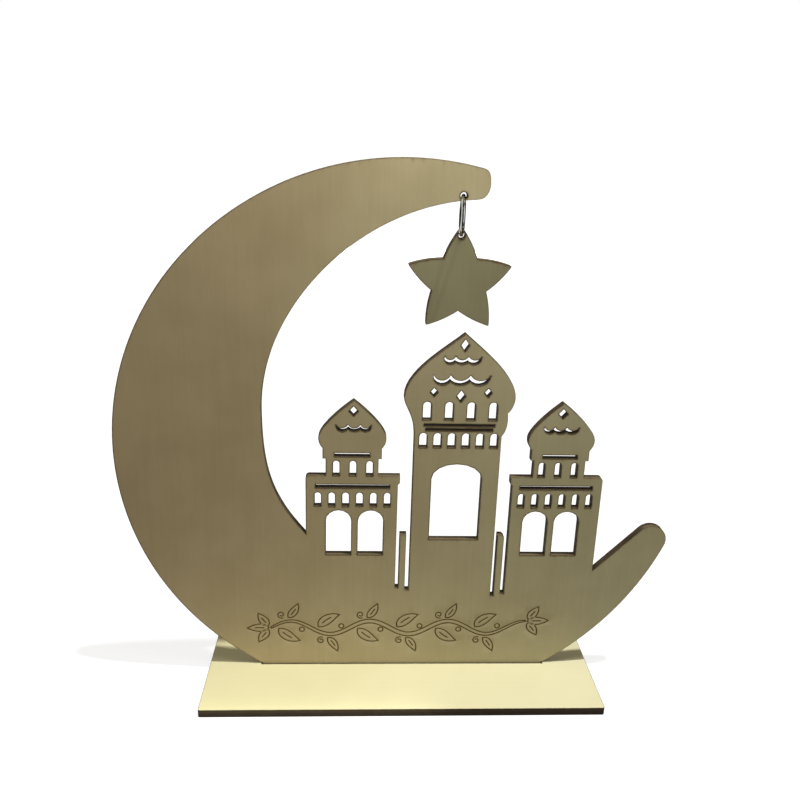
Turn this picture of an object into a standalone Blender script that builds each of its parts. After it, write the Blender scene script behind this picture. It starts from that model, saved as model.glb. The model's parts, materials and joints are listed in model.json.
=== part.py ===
"""Eid table ornament: a crescent-and-mosque board standing in a slotted base, with a star hung on a ring.

Metres, +Z up, and the front faces -Y. Board, base and star are cut from one thickness of sheet. The origin
lies on the surface that the base stands on, under the middle of the board's overall width and thickness.
Outlines are drawn in the board's own plane: x runs from the middle of the board's straight foot, and z from
the top of the base.
"""
import math

import bmesh
import bpy
from mathutils import Matrix

# Sheet and fits
SHEET = 0.003
FIT = 0.0003
SLOT_PLAY = 0.00045
TENON_SHOULDER = 0.0006

# Base: a plate with a slot a little off its middle
BASE_LENGTH = 0.1474
BASE_DEPTH = 0.057
BASE_CORNER = 0.0008
SLOT_OFFSET = 0.001

# Straight foot of the board, and the height at which its left flank leaves the crescent's circle
FOOT_LENGTH = 0.1104
FLANK_HEIGHT = 0.014

# Skyline, across: towers, the posts between them and the slits beside the posts, left to right
MIDDLE_TOWER_X = 0.01665
MIDDLE_TOWER_WIDTH = 0.0314
SIDE_TOWER_WIDTH = 0.0334
POST_WIDTHS = (0.0025, 0.00255)
SLIT_WIDTHS = (0.0012, 0.00145, 0.0012, 0.0014)
SLIT_FLOORS = (0.0335, 0.0325, 0.0301, 0.0310)
POST_TOP = 0.056
POST_CHAMFER = 0.0009

# Crescent: one circle outside, and an inner edge that runs from the tip round to the left tower
MOON_BEHIND_TOWER = 0.0197
MOON_SINK = 0.0137
HORN_REACH = 0.0209
HORN_ANGLE = -19.7
HORN_INSET = 0.0011
HORN_TIP_RADIUS = 0.0059
HORN_FLANK_RADIUS = 0.109
HORN_FOOT = 0.041
WAIST_GAP = 0.0153
WAIST_RISE = 0.0154
CRESCENT_FOOT = 0.056
TIP_ANGLE = 77.5
TIP_DEPTH = 0.01015
TIP_LENGTH = 0.00385

# Hole near the tip, and the split ring that hangs in it
HOLE_RADIUS = 0.00115
HOLE_FROM_TIP = 0.00862
HOLE_LAND = 0.0004
WIRE = 0.0013
RING_RADIUS = 0.0063
RING_TURN = 11.0
RING_SPLIT = 0.0003

# Star
STAR_POINTS = 5
STAR_RADIUS = 0.0182
STAR_NOTCH_RADIUS = 0.00975
STAR_BULGE = 0.00042
STAR_TIP_WIDTH = 0.0009
STAR_HOLE_RADIUS = 0.0011
STAR_HOLE_INSET = 0.0026
PEAK_CLEARANCE = 0.0016

# Middle tower, outline
MIDDLE_PEAK_SHIFT = 0.00085
MIDDLE_BULGE = 0.004
MIDDLE_DOME_UNDERCUT = 0.0054
MIDDLE_COLLAR = 0.00165
MIDDLE_COLLAR_HEIGHT = 0.0089
MIDDLE_NECK_HEIGHT = 0.0155

# Middle tower, cut-outs from the peak down, each with the gap above it
MIDDLE_PATTERN_SHIFT = 0.00035
PEAK_GAP = 0.002
PEAK_LOZENGE = (0.0029, 0.0043)
UPPER_WAVE_GAP = 0.0019
UPPER_WAVE = (0.0129, 0.00125, 0.0027, 0.0019)
LOWER_WAVE_GAP = 0.004
LOWER_WAVE = (0.0200, 0.002, 0.0036, 0.0021)
CENTRE_LOZENGE_GAP = 0.0019
CENTRE_LOZENGE = (0.0032, 0.0043)
SMALL_LOZENGE = (0.0027, 0.0031)
SMALL_LOZENGE_SPREAD = 0.0191
SMALL_LOZENGE_LIFT = 0.0014
LANCET_COUNT = 4
LANCET_WIDTH = 0.0029
LANCET_HEIGHT = 0.0068
LANCET_MARGIN = 0.0025
WIDEST_ABOVE_LANCETS = 0.00155
MIDDLE_BAR_GAP = 0.0014
MIDDLE_BAR_HEIGHT = 0.00095
MIDDLE_BAR_SPACE = 0.00075
MIDDLE_BAR_MARGINS = (0.0031, 0.0037)
ARCADE_GAP = 0.00085
ARCADE_COUNT = 6
ARCADE_WIDTH = 0.00275
ARCADE_HEIGHT = 0.0056
ARCADE_MARGIN = 0.0016
GREAT_WINDOW_GAP = 0.00635
GREAT_WINDOW_WIDTH = 0.0182
GREAT_WINDOW_HEIGHT = 0.0303
GREAT_WINDOW_RISE = 0.0057

# Side towers, from the window sills up, each height with the gap above it
SIDE_SILL = 0.04755
SIDE_WINDOW_WIDTH = 0.0093
SIDE_WINDOW_HEIGHT = 0.0182
SIDE_WINDOW_RISE = 0.0043
SIDE_WINDOW_PIER = 0.0025
SIDE_WINDOW_SHIFT = 0.00115
SIDE_PATTERN_SHIFT = 0.0003
SIDE_ARCADE_GAP = 0.0016
SIDE_ARCADE_COUNT = 6
SIDE_ARCADE_WIDTH = 0.00235
SIDE_ARCADE_HEIGHT = 0.0055
SIDE_ARCADE_MARGIN = 0.0029
SIDE_BAR_GAP = 0.0018
SIDE_BAR_HEIGHT = 0.0014
SIDE_BAR_MARGIN = 0.0033
PARAPET_GAP = 0.00345
PARAPET_ROUND = 0.0013
CORNICE = 0.0007
CORNICE_HEIGHT = 0.0034
DRUM_WIDTH = 0.0190
DRUM_LANCET_COUNT = 3
DRUM_LANCET_WIDTH = 0.0023
DRUM_LANCET_HEIGHT = 0.0058
DRUM_LANCET_MARGIN = 0.00235
COLLAR_GAP = 0.0008
COLLAR_OVERHANG = 0.0011
COLLAR_HEIGHT = 0.004
DRUM_BAR_MARGIN = 0.0032
SIDE_DOME_BULGE = 0.0015
SIDE_DOME_UNDERCUT = 0.004
SIDE_DOME_HEIGHT = 0.0140
SIDE_WAVE_GAP = 0.0064
SIDE_WAVE = (0.0125, 0.0013, 0.0025, 0.0016)
SIDE_LOZENGE_GAP = 0.0033
SIDE_LOZENGE = (0.0032, 0.0036)

# Where the points of every wave stand along its length
WAVE_CUSPS = (0.0, 0.3, 0.65, 1.0)

# Bends of the free curves: shares of the step in x and z at the start, then at the end
FLANK_BEND = ((0.244, 0.301), (0.35, 0.3))
INNER_UPPER_BEND = ((0.54, 0.03), (0.0, 0.493))
INNER_LOWER_BEND = ((0.0, 0.468), (0.808, 0.308))
TIP_UPPER_BEND = ((0.545, 0.087), (0.0, 0.93))
TIP_LOWER_BEND = ((0.0, 0.4), (0.76, 0.022))
MIDDLE_LEFT_BEND = ((0.327, 0.244), (0.0, 0.394))
MIDDLE_RIGHT_BEND = ((0.337, 0.253), (0.0, 0.375))
MIDDLE_NECK_BEND = ((0.0, 0.22), (0.0, 0.608))
MIDDLE_UNDERCUT_BEND = ((0.0, 0.333), (0.486, 0.096))
MIDDLE_COLLAR_BEND = ((-0.225, 0.385), (1.19, 0.3))
SIDE_DOME_BEND = ((0.367, 0.235), (0.0, 0.26))
SIDE_UNDERCUT_BEND = ((0.0, 0.475), (0.58, 0.275))

# Points to a stretch, and the distance below which two points are one
LONG_STEPS = 48
CURVE_STEPS = 14
SHORT_STEPS = 6
ARCH_STEPS = 8
WAVE_STEPS = 7
HOLE_STEPS = 24
RING_STEPS = 48
SAME_POINT = 0.000001

# Colours in linear light, surface values, and the angle in degrees below which wire is shaded smooth
PLY_COLOUR = (0.42, 0.35, 0.19, 1.0)
PLY_ROUGHNESS = 0.62
STEEL_COLOUR = (0.62, 0.62, 0.63, 1.0)
STEEL_ROUGHNESS = 0.22
SMOOTH_BELOW = 50.0


# Outline helpers
def polar(centre, radius, degrees):
    """The point at an angle on a circle."""
    angle = math.radians(degrees)
    return (centre[0] + radius * math.cos(angle), centre[1] + radius * math.sin(angle))


def arc(centre, radius, start, end, steps):
    """Points along a circle from one angle to another, both ends in."""
    return [polar(centre, radius, start + (end - start) * step / steps) for step in range(steps + 1)]


def direction(centre, point):
    """The angle of a point seen from a centre, in degrees."""
    return math.degrees(math.atan2(point[1] - centre[1], point[0] - centre[0]))


def bend(start, end, shares, steps):
    """Points along a free curve; its handles are shares of the step from start to end."""
    step_x = end[0] - start[0]
    step_z = end[1] - start[1]
    (lead_x, lead_z), (trail_x, trail_z) = shares
    handles = (
        start,
        (start[0] + lead_x * step_x, start[1] + lead_z * step_z),
        (end[0] - trail_x * step_x, end[1] - trail_z * step_z),
        end,
    )
    points = []
    for step in range(steps + 1):
        t = step / steps
        weights = ((1 - t) ** 3, 3 * t * (1 - t) ** 2, 3 * t * t * (1 - t), t ** 3)
        x = sum(weight * handle[0] for weight, handle in zip(weights, handles))
        z = sum(weight * handle[1] for weight, handle in zip(weights, handles))
        points.append((x, z))
    return points


def clean(points):
    """The same outline without points that fall on the one before."""
    kept = []
    for point in points:
        if not kept or math.dist(point, kept[-1]) > SAME_POINT:
            kept.append(point)
    if math.dist(kept[0], kept[-1]) <= SAME_POINT:
        kept.pop()
    return kept


def height_on(points, x):
    """The height of an outline stretch at x."""
    for (x0, z0), (x1, z1) in zip(points, points[1:]):
        if min(x0, x1) <= x <= max(x0, x1) and x0 != x1:
            return z0 + (z1 - z0) * (x - x0) / (x1 - x0)
    return points[0][1]


def arch(x, sill, width, height, rise):
    """An opening with a flat sill, straight jambs and a round head."""
    half = width / 2
    spring = sill + height - rise
    points = [(x - half, sill), (x + half, sill)]
    for step in range(ARCH_STEPS + 1):
        angle = math.pi * step / ARCH_STEPS
        points.append((x + half * math.cos(angle), spring + rise * math.sin(angle)))
    return clean(points)


def arches(x, span, count, sill, width, height):
    """A row of round-headed openings whose outer jambs are a span apart."""
    pitch = (span - width) / (count - 1)
    first = x - (span - width) / 2
    return [arch(first + pitch * index, sill, width, height, width / 2) for index in range(count)]


def bar(x, bottom, length, height):
    """A long narrow slot."""
    half = length / 2
    top = bottom + height
    return [(x - half, bottom), (x + half, bottom), (x + half, top), (x - half, top)]


def lozenge(x, z, size):
    """A diamond about its centre."""
    half_width = size[0] / 2
    half_height = size[1] / 2
    return [(x, z - half_height), (x + half_width, z), (x, z + half_height), (x - half_width, z)]


def hanging_arc(start, end, sag, steps):
    """Points along the arc that hangs by a sag below the straight line from start to end."""
    span = math.dist(start, end)
    radius = (span * span / 4 + sag * sag) / (2 * sag)
    rise = (radius - sag) / span
    centre = (
        (start[0] + end[0]) / 2 - rise * (end[1] - start[1]),
        (start[1] + end[1]) / 2 + rise * (end[0] - start[0]),
    )
    first = direction(centre, start)
    sweep = math.degrees(4 * math.atan(2 * sag / span))
    return arc(centre, radius, first, first + sweep, steps)


def wave(x, top, size, hand=1):
    """Three hanging scallops in one cut, pointed at its ends; a hand of -1 mirrors it."""
    length, dip, depth, notch = size
    upper = sorted((x + hand * length * (share - 0.5), top) for share in WAVE_CUSPS)
    lower = [upper[0], (upper[1][0], top - notch), (upper[2][0], top - notch), upper[3]]
    sags = (depth - notch / 2, depth - notch, depth - notch / 2)
    points = []
    for start, end, sag in zip(lower, lower[1:], sags):
        points += hanging_arc(start, end, sag, WAVE_STEPS)
    over = []
    for start, end in zip(upper, upper[1:]):
        over += hanging_arc(start, end, dip, WAVE_STEPS)
    return clean(points + over[::-1])


def round_hole(centre, radius):
    """A circle, closed."""
    return arc(centre, radius, 0, 360, HOLE_STEPS)[:-1]


# Places across the skyline
def skyline():
    """The x of every upright edge from the left tower's outer side to the right tower's."""
    middle_left = MIDDLE_TOWER_X - MIDDLE_TOWER_WIDTH / 2
    middle_right = MIDDLE_TOWER_X + MIDDLE_TOWER_WIDTH / 2
    left_post_right = middle_left - SLIT_WIDTHS[1]
    left_post_left = left_post_right - POST_WIDTHS[0]
    left_inner = left_post_left - SLIT_WIDTHS[0]
    right_post_left = middle_right + SLIT_WIDTHS[2]
    right_post_right = right_post_left + POST_WIDTHS[1]
    right_inner = right_post_right + SLIT_WIDTHS[3]
    return {
        "left_outer": left_inner - SIDE_TOWER_WIDTH,
        "left_inner": left_inner,
        "left_post": (left_post_left, left_post_right),
        "middle": (middle_left, middle_right),
        "right_post": (right_post_left, right_post_right),
        "right_inner": right_inner,
        "right_outer": right_inner + SIDE_TOWER_WIDTH,
    }


EDGES = skyline()
LEFT_TOWER_X = (EDGES["left_outer"] + EDGES["left_inner"]) / 2
RIGHT_TOWER_X = (EDGES["right_outer"] + EDGES["right_inner"]) / 2

# Crescent: its radius reaches out to the horn, whose tip lies beyond the right tower
HORN_TIP_X = EDGES["right_outer"] + HORN_REACH
MOON_X = MIDDLE_TOWER_X - MOON_BEHIND_TOWER
MOON_RADIUS = (HORN_TIP_X - MOON_X) / math.cos(math.radians(HORN_ANGLE)) + HORN_INSET
MOON_CENTRE = (MOON_X, MOON_RADIUS - MOON_SINK)
HORN_TIP = polar(MOON_CENTRE, MOON_RADIUS - HORN_INSET, HORN_ANGLE)
TIP_OUTER = polar(MOON_CENTRE, MOON_RADIUS, TIP_ANGLE)
TIP_INNER = (TIP_OUTER[0], TIP_OUTER[1] - TIP_DEPTH)
TIP_END = (TIP_OUTER[0] + TIP_LENGTH, (TIP_OUTER[1] + TIP_INNER[1]) / 2)
WAIST = (EDGES["left_outer"] - WAIST_GAP, MOON_CENTRE[1] + WAIST_RISE)
INNER_UPPER = bend(TIP_INNER, WAIST, INNER_UPPER_BEND, LONG_STEPS)

# Hole, ring and star, each hung from the one above; the wire's arc in a hole needs its own sag
HOLE_X = TIP_END[0] - HOLE_FROM_TIP
HOLE = (HOLE_X, height_on(INNER_UPPER, HOLE_X) + HOLE_LAND + HOLE_RADIUS)
WIRE_SAG = RING_RADIUS - math.sqrt(RING_RADIUS ** 2 - (SHEET / 2) ** 2)
WIRE_SEAT = FIT + WIRE / 2 + WIRE_SAG
RING_PIVOT_Z = HOLE[1] - HOLE_RADIUS + WIRE_SEAT
RING_CENTRE_Z = RING_PIVOT_Z - RING_RADIUS
STAR_HOLE_Z = RING_CENTRE_Z - RING_RADIUS + WIRE_SEAT - STAR_HOLE_RADIUS
STAR_CENTRE = (HOLE_X, STAR_HOLE_Z - STAR_RADIUS + STAR_HOLE_INSET)

# Middle tower: the peak stays clear of the star's lower tips as they swing past
LOWER_TIP = polar((0.0, STAR_CENTRE[1] - RING_PIVOT_Z), STAR_RADIUS, 180 / STAR_POINTS - 90)
PEAK_Z = RING_PIVOT_Z - math.hypot(*LOWER_TIP) - PEAK_CLEARANCE


def middle_levels():
    """Heights of the middle tower's cut-outs, worked down from its peak."""
    levels = {"peak_lozenge": PEAK_Z - PEAK_GAP - PEAK_LOZENGE[1] / 2}
    levels["upper_wave"] = PEAK_Z - PEAK_GAP - PEAK_LOZENGE[1] - UPPER_WAVE_GAP
    levels["lower_wave"] = levels["upper_wave"] - UPPER_WAVE[2] - LOWER_WAVE_GAP
    lozenge_top = levels["lower_wave"] - LOWER_WAVE[2] - CENTRE_LOZENGE_GAP
    levels["centre_lozenge"] = lozenge_top - CENTRE_LOZENGE[1] / 2
    levels["small_lozenge"] = levels["centre_lozenge"] + SMALL_LOZENGE_LIFT
    levels["lancets"] = lozenge_top - CENTRE_LOZENGE[1] - LANCET_HEIGHT
    levels["widest"] = lozenge_top - CENTRE_LOZENGE[1] + WIDEST_ABOVE_LANCETS
    levels["upper_bar"] = levels["lancets"] - MIDDLE_BAR_GAP - MIDDLE_BAR_HEIGHT
    levels["lower_bar"] = levels["upper_bar"] - MIDDLE_BAR_SPACE - MIDDLE_BAR_HEIGHT
    levels["arcade"] = levels["lower_bar"] - ARCADE_GAP - ARCADE_HEIGHT
    levels["great_window"] = levels["arcade"] - GREAT_WINDOW_GAP - GREAT_WINDOW_HEIGHT
    return levels


def side_levels():
    """Heights of a side tower's cut-outs and steps, worked up from its window sills."""
    levels = {"arcade": SIDE_SILL + SIDE_WINDOW_HEIGHT + SIDE_ARCADE_GAP}
    levels["bar"] = levels["arcade"] + SIDE_ARCADE_HEIGHT + SIDE_BAR_GAP
    levels["parapet"] = levels["bar"] + SIDE_BAR_HEIGHT + PARAPET_GAP
    levels["collar"] = levels["parapet"] + DRUM_LANCET_HEIGHT + COLLAR_GAP
    levels["drum_bar"] = levels["collar"] + COLLAR_GAP
    levels["dome_foot"] = levels["collar"] + COLLAR_HEIGHT
    levels["widest"] = levels["dome_foot"] + SIDE_DOME_UNDERCUT
    levels["peak"] = levels["widest"] + SIDE_DOME_HEIGHT
    levels["wave"] = levels["dome_foot"] + SIDE_WAVE_GAP + SIDE_WAVE[2]
    levels["lozenge"] = levels["wave"] + SIDE_LOZENGE_GAP + SIDE_LOZENGE[1] / 2
    return levels


MIDDLE = middle_levels()
SIDE = side_levels()


# Board outline, counter-clockwise, stretch by stretch
def tenon_outline():
    """The tongue below the foot, with a small shoulder at each end that rests on the base."""
    half = FOOT_LENGTH / 2 - TENON_SHOULDER
    floor = FIT - SHEET
    return [(-FOOT_LENGTH / 2, FIT), (-half, FIT), (-half, floor), (half, floor), (half, FIT)]


def horn_outline():
    """The outer flank from the foot, round the tip, and down the inner edge to the right tower."""
    heel = (FOOT_LENGTH / 2, FIT)
    to_tip = math.dist(heel, HORN_TIP)
    short = HORN_FLANK_RADIUS - HORN_TIP_RADIUS
    along = (to_tip ** 2 + HORN_FLANK_RADIUS ** 2 - short ** 2) / (2 * to_tip)
    aside = math.sqrt(HORN_FLANK_RADIUS ** 2 - along ** 2)
    unit = ((HORN_TIP[0] - heel[0]) / to_tip, (HORN_TIP[1] - heel[1]) / to_tip)
    centre = (heel[0] + along * unit[0] - aside * unit[1], heel[1] + along * unit[1] + aside * unit[0])
    flank_end = direction(centre, HORN_TIP)
    flank = arc(centre, HORN_FLANK_RADIUS, direction(centre, heel), flank_end, LONG_STEPS // 2)
    foot = (EDGES["right_outer"], HORN_FOOT)
    to_foot = math.dist(foot, HORN_TIP)
    tangent = direction(HORN_TIP, foot) - math.degrees(math.acos(HORN_TIP_RADIUS / to_foot))
    tip = arc(HORN_TIP, HORN_TIP_RADIUS, flank_end, tangent % 360, CURVE_STEPS)
    return flank + tip + [foot]


def side_tower_outline(x, outward):
    """A side tower from its outer foot over the dome to its inner side; outward is +1 or -1."""
    half = SIDE_TOWER_WIDTH / 2
    drum = DRUM_WIDTH / 2
    collar = drum + COLLAR_OVERHANG
    bulge = collar + SIDE_DOME_BULGE
    parapet = SIDE["parapet"]
    corner = arc((half - PARAPET_ROUND, parapet - PARAPET_ROUND), PARAPET_ROUND, 0, 90, SHORT_STEPS)
    flank = [(drum, parapet), (drum, SIDE["collar"]), (collar, SIDE["collar"])]
    undercut = bend((bulge, SIDE["widest"]), (collar, SIDE["dome_foot"]), SIDE_UNDERCUT_BEND, SHORT_STEPS)
    peak = (-SIDE_PATTERN_SHIFT, SIDE["peak"])
    outer_dome = bend(peak, (bulge, SIDE["widest"]), SIDE_DOME_BEND, CURVE_STEPS)
    inner_dome = bend(peak, (-bulge, SIDE["widest"]), SIDE_DOME_BEND, CURVE_STEPS)
    outer = corner + flank + undercut[::-1] + outer_dome[::-1]
    inner = inner_dome + [(-across, z) for across, z in undercut + flank[::-1]]
    cornice = [
        (-half - CORNICE, parapet),
        (-half - CORNICE, parapet - CORNICE_HEIGHT + CORNICE),
        (-half, parapet - CORNICE_HEIGHT),
    ]
    return [(x + outward * across, z) for across, z in outer + inner + cornice]


def middle_tower_outline():
    """The middle tower from its right foot over the dome to its left side."""
    left, right = EDGES["middle"]
    peak = (MIDDLE_TOWER_X + MIDDLE_PEAK_SHIFT, PEAK_Z)
    widest_right = (right + MIDDLE_BULGE, MIDDLE["widest"])
    widest_left = (left - MIDDLE_BULGE, MIDDLE["widest"])
    notch = (right + MIDDLE_COLLAR, MIDDLE["widest"] - MIDDLE_DOME_UNDERCUT)
    collar_foot = (right, notch[1] - MIDDLE_COLLAR_HEIGHT)
    neck = (left, MIDDLE["widest"] - MIDDLE_NECK_HEIGHT)
    collar = bend(notch, collar_foot, MIDDLE_COLLAR_BEND, SHORT_STEPS + 2)
    undercut = bend(widest_right, notch, MIDDLE_UNDERCUT_BEND, SHORT_STEPS)
    right_slope = bend(peak, widest_right, MIDDLE_RIGHT_BEND, CURVE_STEPS)
    left_slope = bend(peak, widest_left, MIDDLE_LEFT_BEND, CURVE_STEPS)
    left_neck = bend(widest_left, neck, MIDDLE_NECK_BEND, CURVE_STEPS)
    return collar[::-1] + undercut[::-1] + right_slope[::-1] + left_slope + left_neck


def crescent_outline():
    """The inner edge from the left tower, round the tip, and the outer circle down to the left flank."""
    foot = (EDGES["left_outer"], CRESCENT_FOOT)
    lower = bend(WAIST, foot, INNER_LOWER_BEND, LONG_STEPS // 2)
    tip = bend(TIP_OUTER, TIP_END, TIP_UPPER_BEND, SHORT_STEPS)
    tip += bend(TIP_END, TIP_INNER, TIP_LOWER_BEND, SHORT_STEPS)
    drop = (MOON_CENTRE[1] - FLANK_HEIGHT) / MOON_RADIUS
    outer = arc(MOON_CENTRE, MOON_RADIUS, TIP_ANGLE, 180 + math.degrees(math.asin(drop)), 2 * LONG_STEPS)
    flank = bend(outer[-1], (-FOOT_LENGTH / 2, FIT), FLANK_BEND, CURVE_STEPS)
    return lower[::-1] + INNER_UPPER[::-1] + tip[::-1] + outer + flank


def board_outline():
    """The whole edge of the board."""
    right_post = EDGES["right_post"]
    left_post = EDGES["left_post"]
    points = tenon_outline() + horn_outline()
    points += side_tower_outline(RIGHT_TOWER_X, 1)
    points += [
        (EDGES["right_inner"], SLIT_FLOORS[3]),
        (right_post[1], SLIT_FLOORS[3]),
        (right_post[1], POST_TOP - POST_CHAMFER),
        (right_post[1] - POST_CHAMFER, POST_TOP),
        (right_post[0], POST_TOP),
        (right_post[0], SLIT_FLOORS[2]),
        (EDGES["middle"][1], SLIT_FLOORS[2]),
    ]
    points += middle_tower_outline()
    points += [
        (EDGES["middle"][0], SLIT_FLOORS[1]),
        (left_post[1], SLIT_FLOORS[1]),
        (left_post[1], POST_TOP),
        (left_post[0], POST_TOP),
        (left_post[0], SLIT_FLOORS[0]),
        (EDGES["left_inner"], SLIT_FLOORS[0]),
    ]
    points += side_tower_outline(LEFT_TOWER_X, -1)[::-1]
    points += crescent_outline()
    return clean(points)


# Cut-outs
def side_tower_cuts(x, inward):
    """Windows, arcades, bars, wave and lozenge of a side tower; inward is +1 or -1."""
    windows_x = x + inward * SIDE_WINDOW_SHIFT
    window_step = (SIDE_WINDOW_WIDTH + SIDE_WINDOW_PIER) / 2
    pattern_x = x + inward * SIDE_PATTERN_SHIFT
    arcade_span = SIDE_TOWER_WIDTH - 2 * SIDE_ARCADE_MARGIN
    drum_span = DRUM_WIDTH - 2 * DRUM_LANCET_MARGIN
    cuts = []
    for side in (-1, 1):
        window_x = windows_x + side * window_step
        cuts.append(arch(window_x, SIDE_SILL, SIDE_WINDOW_WIDTH, SIDE_WINDOW_HEIGHT, SIDE_WINDOW_RISE))
    cuts += arches(
        pattern_x, arcade_span, SIDE_ARCADE_COUNT, SIDE["arcade"], SIDE_ARCADE_WIDTH, SIDE_ARCADE_HEIGHT
    )
    cuts.append(bar(pattern_x, SIDE["bar"], SIDE_TOWER_WIDTH - 2 * SIDE_BAR_MARGIN, SIDE_BAR_HEIGHT))
    cuts += arches(
        pattern_x, drum_span, DRUM_LANCET_COUNT, SIDE["parapet"], DRUM_LANCET_WIDTH, DRUM_LANCET_HEIGHT
    )
    cuts.append(bar(x, SIDE["drum_bar"], DRUM_WIDTH - 2 * DRUM_BAR_MARGIN, SIDE_BAR_HEIGHT))
    cuts.append(wave(pattern_x, SIDE["wave"], SIDE_WAVE, -inward))
    cuts.append(lozenge(pattern_x, SIDE["lozenge"], SIDE_LOZENGE))
    return cuts


def middle_tower_cuts():
    """Great window, arcade, bars, lancets, waves and lozenges of the middle tower."""
    x = MIDDLE_TOWER_X + MIDDLE_PATTERN_SHIFT
    width = MIDDLE_TOWER_WIDTH
    sill = MIDDLE["great_window"]
    cuts = [arch(x, sill, GREAT_WINDOW_WIDTH, GREAT_WINDOW_HEIGHT, GREAT_WINDOW_RISE)]
    arcade_span = width - 2 * ARCADE_MARGIN
    lancet_span = width - 2 * LANCET_MARGIN
    cuts += arches(x, arcade_span, ARCADE_COUNT, MIDDLE["arcade"], ARCADE_WIDTH, ARCADE_HEIGHT)
    cuts += arches(x, lancet_span, LANCET_COUNT, MIDDLE["lancets"], LANCET_WIDTH, LANCET_HEIGHT)
    for level, margin in zip(("upper_bar", "lower_bar"), MIDDLE_BAR_MARGINS):
        cuts.append(bar(x, MIDDLE[level], width - 2 * margin, MIDDLE_BAR_HEIGHT))
    cuts.append(wave(x, MIDDLE["upper_wave"], UPPER_WAVE))
    cuts.append(wave(x, MIDDLE["lower_wave"], LOWER_WAVE))
    cuts.append(lozenge(MIDDLE_TOWER_X + MIDDLE_PEAK_SHIFT, MIDDLE["peak_lozenge"], PEAK_LOZENGE))
    cuts.append(lozenge(x, MIDDLE["centre_lozenge"], CENTRE_LOZENGE))
    for side in (-1, 1):
        cuts.append(lozenge(x + side * SMALL_LOZENGE_SPREAD / 2, MIDDLE["small_lozenge"], SMALL_LOZENGE))
    return cuts


def full_edge(notch, tip):
    """An edge from a notch to an arm's tip that stands proud of the straight line."""
    step_x = tip[0] - notch[0]
    step_z = tip[1] - notch[1]
    length = math.hypot(step_x, step_z)
    side = 1 if step_z * notch[0] > step_x * notch[1] else -1
    points = []
    for step in range(SHORT_STEPS + 1):
        share = step / SHORT_STEPS
        proud = side * STAR_BULGE * 4 * share * (1 - share) / length
        x = notch[0] + step_x * share + step_z * proud
        z = notch[1] + step_z * share - step_x * proud
        points.append((x, z))
    return points


def star_outline():
    """Arms with slightly full edges and blunt tips, about the star's centre."""
    half_step = 180 / STAR_POINTS
    points = []
    for arm in range(STAR_POINTS):
        angle = 90 + 2 * half_step * arm
        tip = polar((0.0, 0.0), STAR_RADIUS, angle)
        back = polar((0.0, 0.0), STAR_RADIUS - STAR_TIP_WIDTH / 2, angle)
        for side in (-1, 1):
            shoulder = polar(back, STAR_TIP_WIDTH / 2, angle + side * 90)
            notch = polar((0.0, 0.0), STAR_NOTCH_RADIUS, angle + side * half_step)
            edge = full_edge(notch, shoulder)
            points += edge + [tip] if side < 0 else edge[::-1]
    return clean(points)


# Solids
def finish(name, slot, colour, roughness, metallic):
    """A plain surface for one sub-part."""
    material = bpy.data.materials.new(name + "_" + slot)
    material.use_nodes = True
    shader = material.node_tree.nodes["Principled BSDF"]
    shader.inputs["Base Color"].default_value = colour
    shader.inputs["Roughness"].default_value = roughness
    shader.inputs["Metallic"].default_value = metallic
    return material


def to_mesh(curve_object, turn):
    """A closed mesh from a curve object, its caps joined to its sides, turned by a matrix."""
    evaluated = curve_object.evaluated_get(bpy.context.evaluated_depsgraph_get())
    mesh = bpy.data.meshes.new_from_object(evaluated)
    bpy.data.objects.remove(curve_object)
    work = bmesh.new()
    work.from_mesh(mesh)
    bmesh.ops.remove_doubles(work, verts=work.verts, dist=SAME_POINT)
    bmesh.ops.transform(work, matrix=turn, verts=work.verts)
    bmesh.ops.recalc_face_normals(work, faces=work.faces)
    work.to_mesh(mesh)
    work.free()
    return mesh


def cut_sheet(name, outlines, turn):
    """A piece of sheet: the first outline is its edge and the others are its holes."""
    curve = bpy.data.curves.new(name, "CURVE")
    curve.dimensions = "2D"
    curve.fill_mode = "BOTH"
    curve.extrude = SHEET / 2
    for outline in outlines:
        spline = curve.splines.new("POLY")
        spline.points.add(len(outline) - 1)
        for point, (x, z) in zip(spline.points, outline):
            point.co = (x, z, 0.0, 1.0)
        spline.use_cyclic_u = True
    drawn = bpy.data.objects.new(name + "_drawing", curve)
    bpy.context.scene.collection.objects.link(drawn)
    bpy.context.view_layer.update()
    return to_mesh(drawn, turn)


def place(name, mesh, material, parent, world):
    """An object at a world place, carried by its parent."""
    mesh.name = name
    mesh.materials.clear()
    mesh.materials.append(material)
    part = bpy.data.objects.new(name, mesh)
    COLLECTION.objects.link(part)
    part.parent = parent
    origin = ORIGINS.get(parent.name, (0.0, 0.0, 0.0))
    part.location = tuple(own - carried for own, carried in zip(world, origin))
    ORIGINS[name] = world
    return part


def base_board(parent):
    """The base plate with its slot."""
    half_length = BASE_LENGTH / 2
    half_depth = BASE_DEPTH / 2
    corners = []
    for turn, (sign_x, sign_y) in enumerate(((1, 1), (-1, 1), (-1, -1), (1, -1))):
        centre = (sign_x * (half_length - BASE_CORNER), sign_y * (half_depth - BASE_CORNER))
        corners += arc(centre, BASE_CORNER, 90 * turn, 90 * turn + 90, SHORT_STEPS // 2)
    slot_length = FOOT_LENGTH - 2 * TENON_SHOULDER + 2 * FIT
    slot = bar(SLOT_OFFSET, -SHEET / 2 - SLOT_PLAY, slot_length, SHEET + 2 * SLOT_PLAY)
    mesh = cut_sheet("base_board", [corners, slot], Matrix.Identity(4))
    place("base_board", mesh, PLY, parent, (FRAME_X - SLOT_OFFSET, 0.0, SHEET / 2))


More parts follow.
